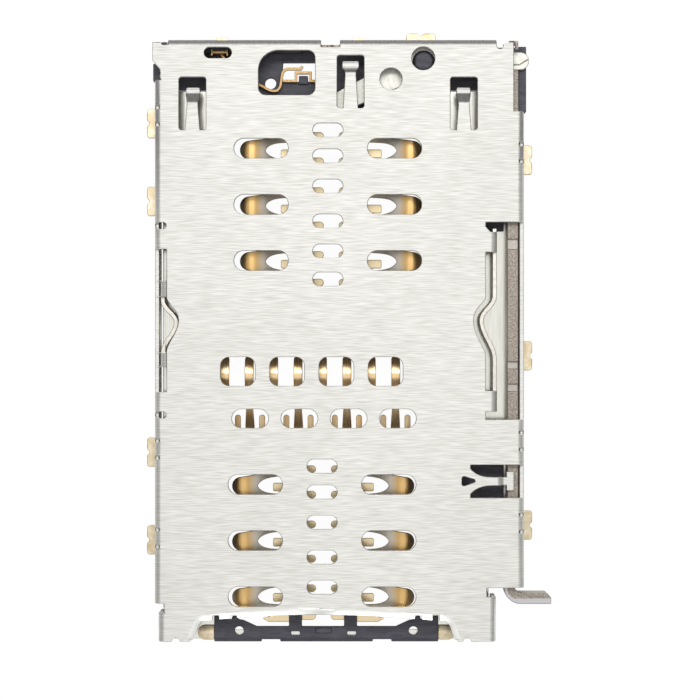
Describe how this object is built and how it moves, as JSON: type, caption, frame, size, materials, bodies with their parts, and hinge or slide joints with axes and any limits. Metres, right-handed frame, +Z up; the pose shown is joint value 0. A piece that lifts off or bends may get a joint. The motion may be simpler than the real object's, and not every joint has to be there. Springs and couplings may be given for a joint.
{
  "type": "sim card socket",
  "caption": "Board-mounted tray socket for small phone cards: folded steel cover over a black moulding with gold contacts, detent leaves, an eject lever and a hooked push rod.",
  "frame": {"origin": "on the board plane under the middle of the tray way, half way along the cover", "axes": "+X towards the push rod, +Y towards the closed rear end, +Z up from the board; the tray goes in along +Y"},
  "size_m": [0.0185, 0.0279, 0.0017],
  "materials": {
    "cover_steel": "fine brushed, nickel-plated",
    "floor_steel": "satin",
    "lever_steel": "satin",
    "rod_steel": "sheared edge",
    "black_moulding": "matt",
    "contact_gold": "gold flash",
    "anchor_metal": "gold flash"
  },
  "bodies": {
    "socket": {"cover_shell": "cover_steel", "base_plate": "floor_steel", "base_housing": "black_moulding", "upper_left_contact_1": "contact_gold", "upper_left_contact_2": "contact_gold", "upper_left_contact_3": "contact_gold", "upper_right_contact_1": "contact_gold", "upper_right_contact_2": "contact_gold", "upper_right_contact_3": "contact_gold", "lower_left_contact_1": "contact_gold", "lower_left_contact_2": "contact_gold", "lower_left_contact_3": "contact_gold", "lower_right_contact_1": "contact_gold", "lower_right_contact_2": "contact_gold", "lower_right_contact_3": "contact_gold", "card_contact_1": "contact_gold", "card_contact_2": "contact_gold", "card_contact_3": "contact_gold", "card_contact_4": "contact_gold", "card_contact_5": "contact_gold", "card_contact_6": "contact_gold", "card_contact_7": "contact_gold", "card_contact_8": "contact_gold", "detect_spring": "contact_gold", "detect_terminal": "contact_gold", "front_anchor_left": "anchor_metal", "front_anchor_right": "anchor_metal"},
    "lever": {"eject_lever": "lever_steel"},
    "rod": {"push_rod": "rod_steel"}
  },
  "joints": [
    {"name": "rod_slide", "type": "slide", "parent": "socket", "child": "rod", "axis": [0, 1, 0], "range_m": [-0.0018, 0]},
    {"name": "lever_pivot", "type": "hinge", "parent": "socket", "child": "lever", "pos_m": [0.00456, 0.0127, 0.00086], "axis": [0, 0, 1], "range_deg": [-24, 0]}
  ],
  "couplings": [
    {"joint": "lever_pivot", "follows": "rod_slide", "rad_per_m": 232.7}
  ]
}
